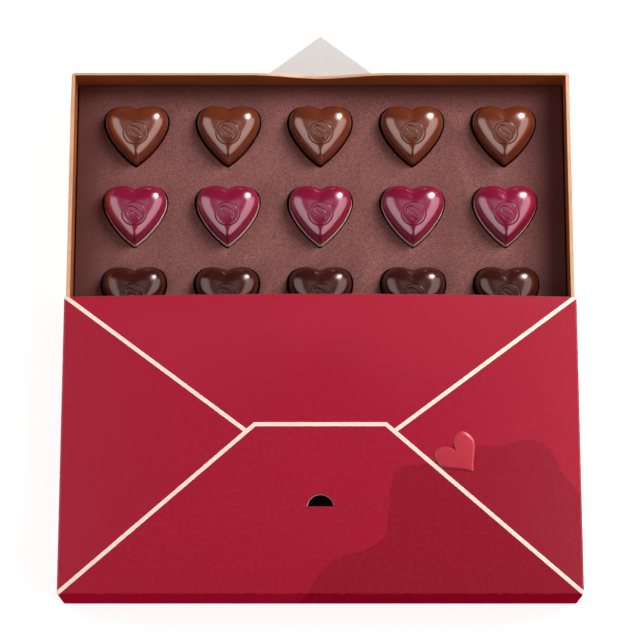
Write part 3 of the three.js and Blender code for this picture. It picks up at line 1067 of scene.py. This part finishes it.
# %% Chocolate finishes
CHOCOLATE_IOR, WAVER = 1.72, 0.03 * MM
MATT = {"specular": 0.3, "gloss": (0.4, 0.55)}


def make_chocolate(name, color, cloud_color, specular=0.95, gloss=(0.15, 0.21), tint=(1, 1, 1)):
    made = new_material(name, color, gloss[0], specular=specular)
    shader = made.node_tree.nodes["Principled BSDF"]
    shader.inputs["IOR"].default_value = CHOCOLATE_IOR
    shader.inputs["Specular Tint"].default_value = (*tint, 1)
    cloud = share_of(made, noise(made, 90, 3), 0.35, 0.65)
    haze = share_of(made, noise(made, 240, 4), 0.3, 0.7, *gloss)
    dress(made, mixed(made, cloud, color, cloud_color), haze, noise(made, 110, 1), WAVER)
    return made


milk = make_chocolate(
    "milk_chocolate", (0.155, 0.029, 0.0085), (0.130, 0.023, 0.0068), tint=(1, 0.73, 0.68)
)
ruby = make_chocolate(
    "ruby_chocolate", (0.26, 0.0032, 0.036), (0.22, 0.0026, 0.029), tint=(1, 0.74, 0.84)
)
pale_pink = make_chocolate("pale_pink_chocolate", (1.0, 0.64, 0.60), (0.96, 0.57, 0.54), **MATT)
dark = make_chocolate(
    "dark_chocolate",
    (0.046, 0.0066, 0.0036),
    (0.036, 0.0050, 0.0028),
    specular=0.45,
    tint=(1, 0.77, 0.74),
)
# The groove finishes are painted darker: painted shade in the emblems' lines.
milk_groove_shade = make_chocolate(
    "milk_painted_groove_shade", (0.07, 0.012, 0.004), (0.06, 0.010, 0.003), **MATT
)
ruby_groove_shade = make_chocolate(
    "ruby_painted_groove_shade", (0.11, 0.001, 0.014), (0.09, 0.0008, 0.011), **MATT
)
dark_groove_shade = make_chocolate(
    "dark_painted_groove_shade", (0.016, 0.003, 0.002), (0.013, 0.002, 0.001), **MATT
)
print("chocolates:", milk.name, ruby.name, pale_pink.name, dark.name)

# %% [markdown]
# The ruby hearts are a shell over a paler base, which shows as a thin line at the rim. The shell
# is the same dome on a slightly smaller foot, and the base is a low slab under it.

# %% Ruby shell and its base
BASE_TOP, BASE_SOFTNESS = 18.4, 0.12
SHELL_FOOT = 0.996

shell = flat_heart("ruby_shell", SHELL_FOOT, BASE_TOP)
raise_dome()
bpy.ops.object.mode_set(mode="OBJECT")
press_emblem(shell)
finish_mesh(shell)
smooth(shell, 50)

base = flat_heart("base_layer", 1.0, WELL_BOTTOM)
raise_faces(BASE_TOP - WELL_BOTTOM)
pick("EDGE", lambda p, edge: near(p.z, BASE_TOP) and len(edge.link_faces) == 2)
bpy.ops.mesh.bevel(offset=BASE_SOFTNESS * MM, segments=2, affect="EDGES", clamp_overlap=True)
bpy.ops.object.mode_set(mode="OBJECT")
finish_mesh(base)
smooth(base, 50)
report(shell)
report(base)


# %% [markdown]
# A tray of fifteen pralines comes from three moulds, so three models are made and copied. Each copy
# has a mesh of its own with its place in it, which lets every praline be moved or changed alone.
# The models themselves are removed at the end, or they would lie in the middle of the tray.

# %% Set the pralines in their wells
def set_in_well(model, name, place, finishes, node_name):
    copy = model.copy()
    copy.data = model.data.copy()
    copy.name = copy.data.name = name
    bpy.context.collection.objects.link(copy)
    for finish in finishes:
        copy.data.materials.append(finish)
    copy.location = (place[0] * MM, place[1] * MM, 0)
    work_on(copy)
    bpy.ops.object.transform_apply(location=True, rotation=True, scale=True)
    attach(copy, "tray")
    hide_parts(node_name)


for column in range(COLUMNS):
    number = column + 1
    milk_place, ruby_place, dark_place = (row[column] for row in PLACES)
    for model, name, place, finishes, slot, node_name in (
        (heart, "milk_praline", milk_place, (milk, milk_groove_shade), "milk_chocolate", "milk_heart"),
        (shell, "ruby_praline", ruby_place, (ruby, ruby_groove_shade), "ruby_chocolate", "ruby_heart"),
        (base, "ruby_base_layer", ruby_place, (pale_pink,), "pale_pink_chocolate", "ruby_base"),
        (heart, "dark_praline", dark_place, (dark, dark_groove_shade), "dark_chocolate", "dark_heart"),
    ):
        set_in_well(model, f"{name}_{number}", place, finishes, f"{node_name}_{number}")
for model in (heart, shell, base):
    bpy.data.objects.remove(model)
print("pralines set:", 3 * COLUMNS)

# %% [markdown]
# The small heart on the sleeve is embossed: pressed up from below, so it has a flat top and sides
# that slope gently, and the slope that faces the light shines. Its outline is extruded twice, the
# second time with a smaller top, and both edges are softened by a bevel. It has the sleeve's print
# in a paler red, a painted sheen that stands for the shine of its varnish.

# %% Raised heart on the sleeve
SEAL_WIDTH, SEAL_LENGTH, SEAL_FOOT, SEAL_RISE = 21.0, 19.5, 0.2, 0.8
SEAL_TOP_SHARE = 0.87
SEAL_BEND, SEAL_SOFTNESS = math.radians(12), ((SEAL_RISE, 0.35), (SEAL_FOOT, 0.15))
SEAL_AT, SEAL_TURN = (67.7, -80.7), math.radians(39.5)

seal = heart_ring(
    "raised_heart", RAISED_HEART, SEAL_WIDTH, SEAL_LENGTH, top_z, steps=24, merge=0.25
)
edit(seal)
bpy.ops.mesh.select_all(action="SELECT")
bpy.ops.mesh.edge_face_add()
raise_faces(SEAL_FOOT)
raise_faces(SEAL_RISE - SEAL_FOOT)
narrow(SEAL_TOP_SHARE, top_z + SEAL_RISE)
for level, softness in SEAL_SOFTNESS:
    pick("EDGE", lambda p, edge: near(p.z, top_z + level) and edge.calc_face_angle(0) > SEAL_BEND)
    bpy.ops.mesh.bevel(offset=softness * MM, segments=3, affect="EDGES", clamp_overlap=True)
bpy.ops.object.mode_set(mode="OBJECT")
seal.rotation_euler = (0, 0, SEAL_TURN)
seal.location = (SEAL_AT[0] * MM, SEAL_AT[1] * MM, 0)
work_on(seal)
bpy.ops.object.transform_apply(location=True, rotation=True, scale=True)
finish_mesh(seal)
# Its paler red is a painted sheen.
raised_sheen_red = make_print("raised_print", 0.42, RAISED_SHEEN_RED, RAISED_SHEEN_RED, (0.30, 0.38))
seal.data.materials.append(raised_sheen_red)
smooth(seal, 50)
report(seal)

# %% [markdown]
# The box has two bodies. The sleeve stays on the table and carries the raised heart, and the tray
# slides and carries all that lies in it. Each piece stands for one solid of the frame.

# %% Each piece rides its body
for piece, body, node, slot in (
    (sleeve, "sleeve", "sleeve", "red_card"),
    (seal, "sleeve", "heart_seal", "raised_print"),
    (tray, "tray", "tray", "copper_card"),
    (insert, "tray", "insert", "felted_insert"),
):
    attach(piece, body)
    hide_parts(node)
    print(piece.name, "rides the", body)
